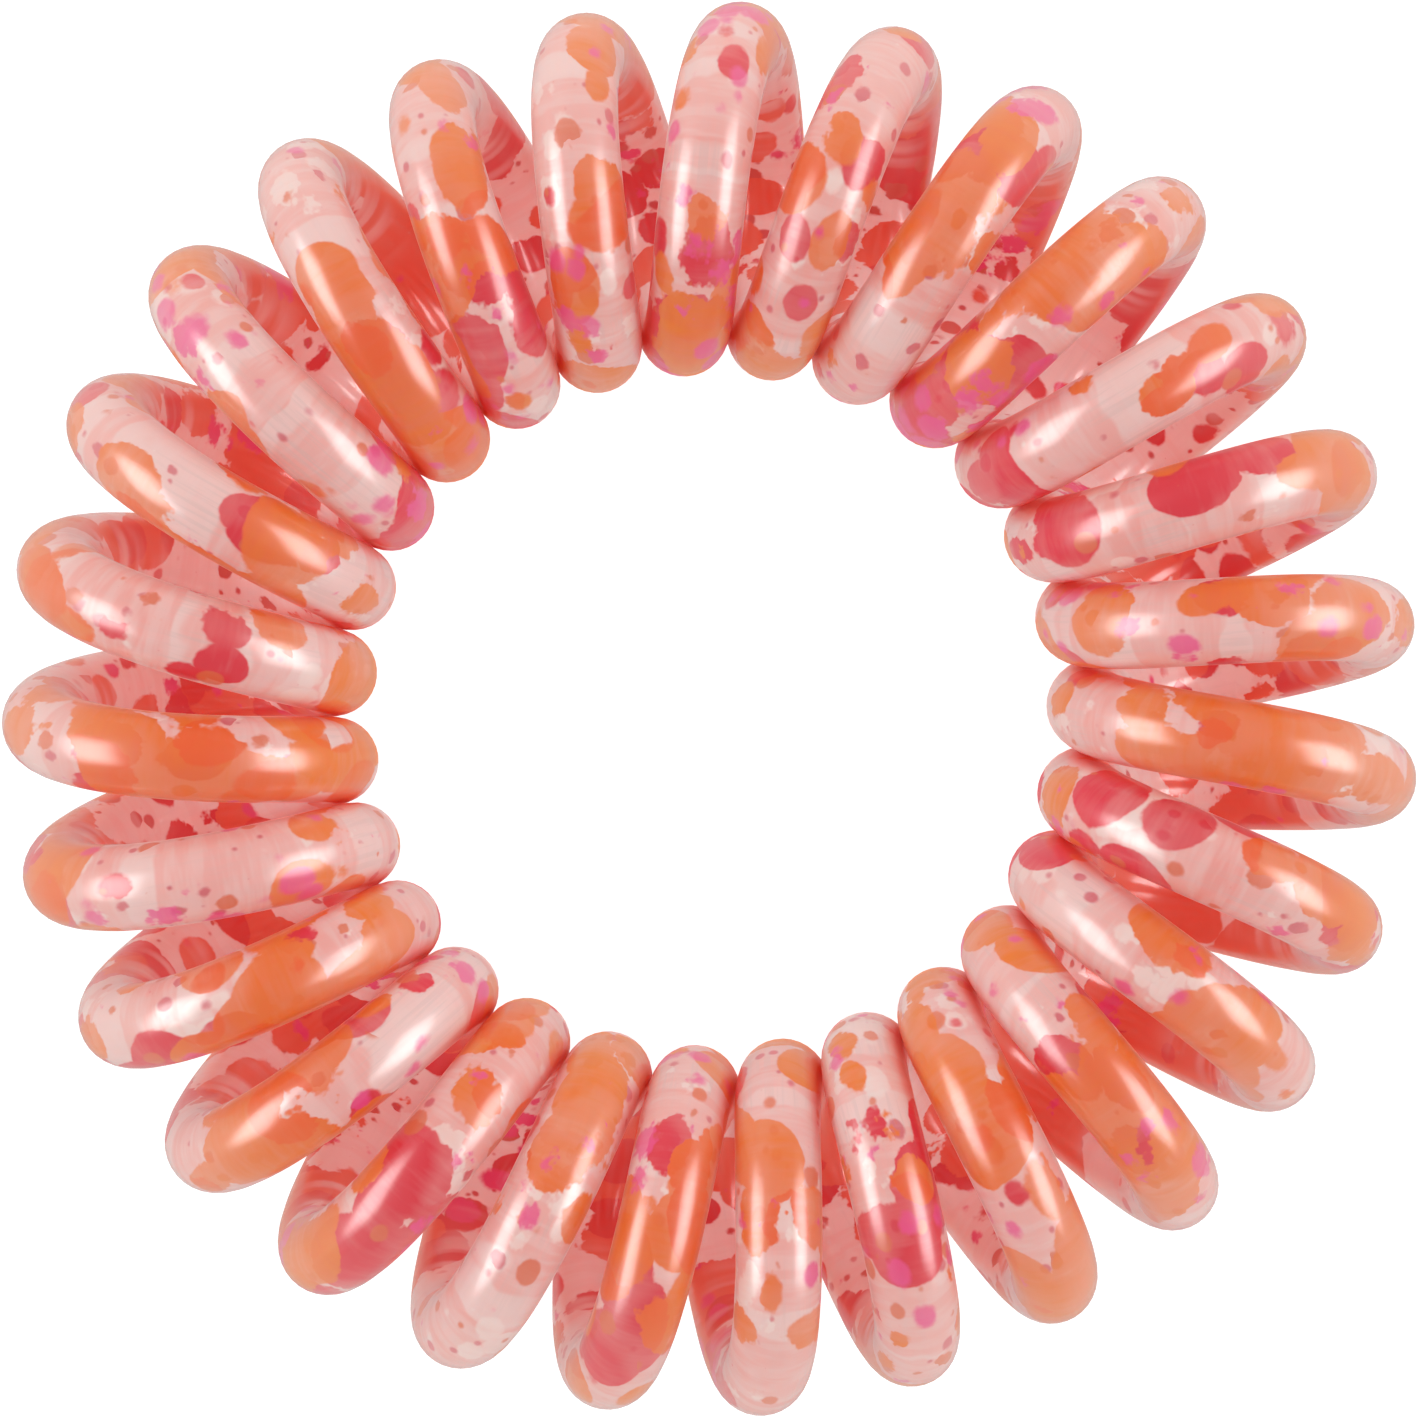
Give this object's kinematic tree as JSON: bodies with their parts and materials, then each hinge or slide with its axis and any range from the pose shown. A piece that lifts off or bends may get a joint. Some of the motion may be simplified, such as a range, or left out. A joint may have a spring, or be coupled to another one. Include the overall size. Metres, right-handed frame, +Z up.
{
  "type": "spiral hair tie",
  "caption": "Small closed ring of glossy, speckled elastic strand wound in a spiral coil, worn round a bundle of hair.",
  "frame": {"origin": "centre of the ring, on the surface that it lies on", "axes": "+Z up, along the ring's axis; +Y towards the top of the reference view, +X to its right"},
  "size_m": [0.0379, 0.038, 0.01],
  "materials": {
    "coil": "glossy, slightly see-through elastic plastic, milky pink with orange, raspberry and magenta spots"
  },
  "bodies": {
    "root": {"coil": "coil"}
  },
  "joints": []
}
